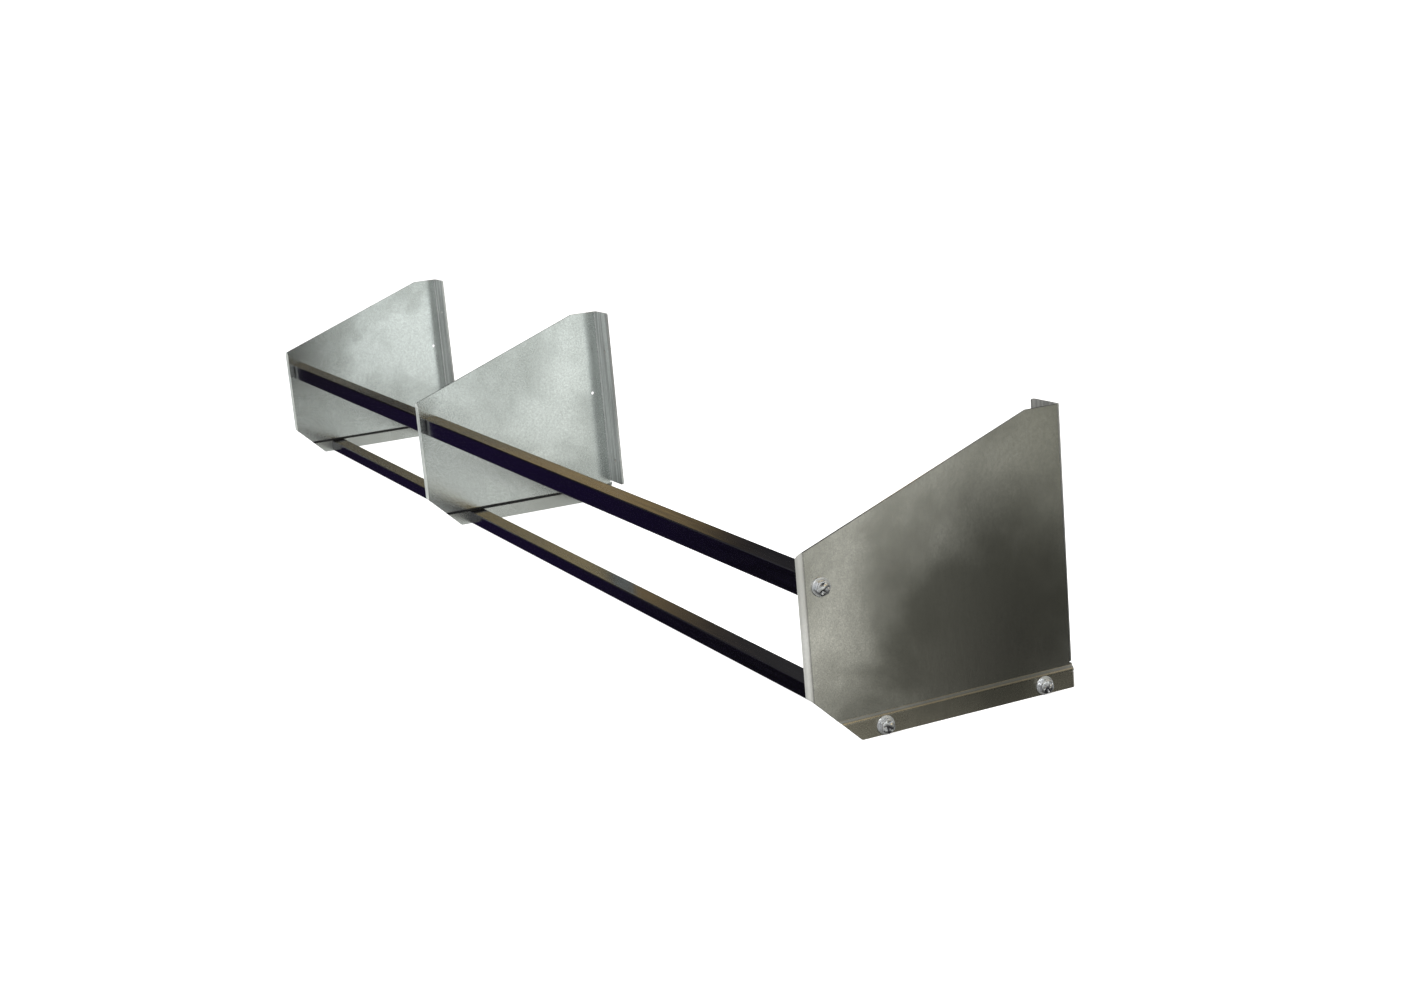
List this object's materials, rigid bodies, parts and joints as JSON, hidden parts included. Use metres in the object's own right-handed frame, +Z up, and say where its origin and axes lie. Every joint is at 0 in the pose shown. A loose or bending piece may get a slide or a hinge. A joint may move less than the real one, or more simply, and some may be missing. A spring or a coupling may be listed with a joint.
{
  "type": "tyre storage rack",
  "caption": "Wall-mounted tyre rack: folded sheet brackets joined by black tube rails, open tyre bays between them, screwed to a wall through rear flanges.",
  "frame": {"origin": "middle of the rack's length and depth, level with the bottom edges of the brackets", "axes": "+X along the rails towards the long bay, +Y towards the wall, +Z up"},
  "size_m": [2.1542, 0.32, 0.31],
  "materials": {
    "inner_sheet": "satin mill finish",
    "outer_sheet": "satin mill finish, faint brushing",
    "rail_black": "gloss black anodised",
    "plug_steel": "machined",
    "bolt_zinc": "bright zinc plate",
    "washer_zinc": "bright zinc plate",
    "stud_zinc": "zinc plate"
  },
  "bodies": {
    "root": {"bracket_left": "inner_sheet", "bracket_middle": "inner_sheet", "bracket_right": "outer_sheet", "rail_left_upper": "rail_black", "rail_left_lower_front": "rail_black", "rail_left_lower_rear": "rail_black", "rail_right_upper": "rail_black", "rail_right_lower_front": "rail_black", "rail_right_lower_rear": "rail_black", "plug_left_upper_outer": "plug_steel", "plug_left_lower_front_outer": "plug_steel", "plug_left_lower_rear_outer": "plug_steel", "plug_left_upper_inner": "plug_steel", "plug_left_lower_front_inner": "plug_steel", "plug_left_lower_rear_inner": "plug_steel", "plug_right_upper_inner": "plug_steel", "plug_right_lower_front_inner": "plug_steel", "plug_right_lower_rear_inner": "plug_steel", "plug_right_upper_outer": "plug_steel", "plug_right_lower_front_outer": "plug_steel", "plug_right_lower_rear_outer": "plug_steel", "bolt_left_upper": "bolt_zinc", "bolt_left_lower_front": "bolt_zinc", "bolt_left_lower_rear": "bolt_zinc", "bolt_right_upper": "bolt_zinc", "bolt_right_lower_front": "bolt_zinc", "bolt_right_lower_rear": "bolt_zinc", "washer_left_upper": "washer_zinc", "washer_left_lower_front": "washer_zinc", "washer_left_lower_rear": "washer_zinc", "washer_right_upper": "washer_zinc", "washer_right_lower_front": "washer_zinc", "washer_right_lower_rear": "washer_zinc", "stud_upper": "stud_zinc", "stud_lower_front": "stud_zinc", "stud_lower_rear": "stud_zinc"}
  },
  "joints": []
}
